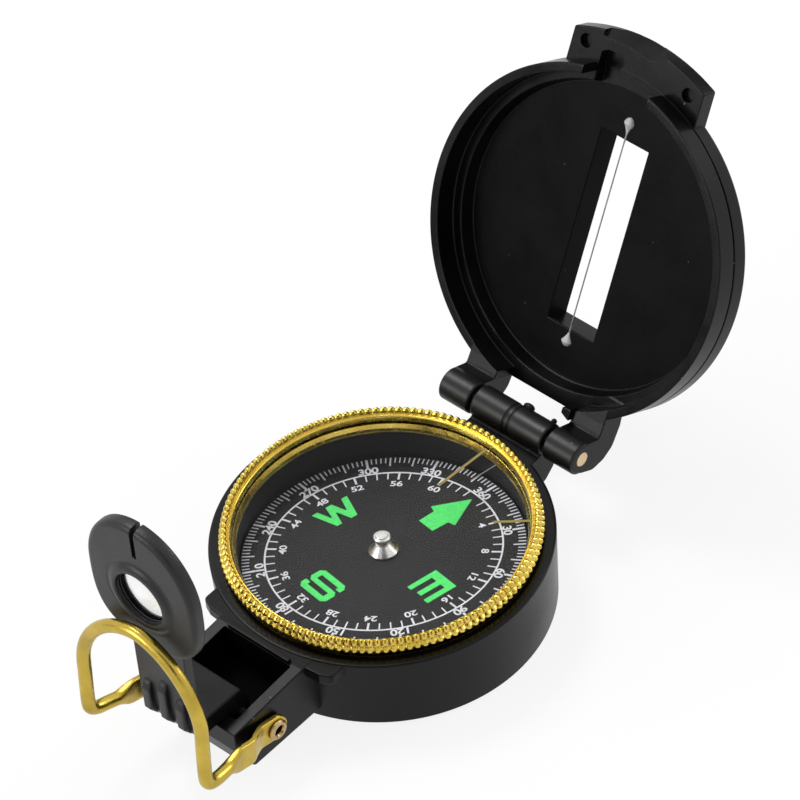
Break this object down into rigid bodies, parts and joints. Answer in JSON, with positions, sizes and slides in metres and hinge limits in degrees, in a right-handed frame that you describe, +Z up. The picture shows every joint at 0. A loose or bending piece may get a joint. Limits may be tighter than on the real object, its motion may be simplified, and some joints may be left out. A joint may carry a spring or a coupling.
{
  "type": "sighting compass",
  "caption": "Folding sighting compass: round case with turning gold bezel, tilting dial, hinged slotted cover with sight wire, folding lens bracket and wire thumb loop.",
  "frame": {"origin": "centre of the case's flat underside", "axes": "+Z up through the dial, +Y towards the cover hinge, -Y towards the tail with the lens bracket, +X to the right"},
  "size_m": [0.0584, 0.1282, 0.0695],
  "materials": {
    "black_plastic": "satin",
    "matte_plastic": "matte",
    "gold_metal": "polished",
    "gold_wire": "satin",
    "steel": "polished",
    "brass": "satin",
    "clear_acrylic": "gloss",
    "glass": "gloss",
    "dial_print": "matte",
    "capsule_plastic": "matte",
    "magnet": "satin"
  },
  "bodies": {
    "case": {"base_case": "black_plastic", "capsule_cup": "capsule_plastic", "capsule_window": "clear_acrylic", "pivot_post": "steel", "bezel_retaining_ring": "steel", "hinge_pin": "brass", "bracket_pin": "steel", "loop_rivet_left": "brass", "loop_rivet_right": "brass"},
    "bezel": {"bezel_ring": "gold_metal", "crystal": "clear_acrylic"},
    "dial": {"compass_card": "dial_print", "card_magnet": "magnet", "hub_cap": "steel", "jewel_bearing": "glass"},
    "cover": {"cover_shell": "black_plastic", "cover_cap": "black_plastic", "sight_wire": "steel", "wire_anchor_upper": "steel", "wire_anchor_lower": "steel"},
    "bracket": {"lens_bracket": "matte_plastic", "lens": "glass", "lens_ring": "matte_plastic"},
    "loop": {"thumb_loop": "gold_wire"}
  },
  "joints": [
    {"name": "bezel_turn", "type": "hinge", "parent": "case", "child": "bezel", "pos_m": [0, 0, 0.0178], "axis": [0, 0, 1], "continuous": true},
    {"name": "dial_turn", "type": "hinge", "parent": "case", "child": "dial", "pos_m": [0, 0, 0.01103], "axis": [-0.0918, 0.0698, 0.9933], "continuous": true},
    {"name": "cover_hinge", "type": "hinge", "parent": "case", "child": "cover", "pos_m": [0, 0.03115, 0.01609], "axis": [1, 0, 0], "range_deg": [-61.5, 118.48]},
    {"name": "bracket_fold", "type": "hinge", "parent": "case", "child": "bracket", "pos_m": [0, -0.0398, 0.0115], "axis": [1, 0, 0], "range_deg": [-90, 0]},
    {"name": "loop_swing", "type": "hinge", "parent": "case", "child": "loop", "pos_m": [0, -0.0372, 0.0087], "axis": [1, 0, 0], "range_deg": [0, 90]}
  ]
}
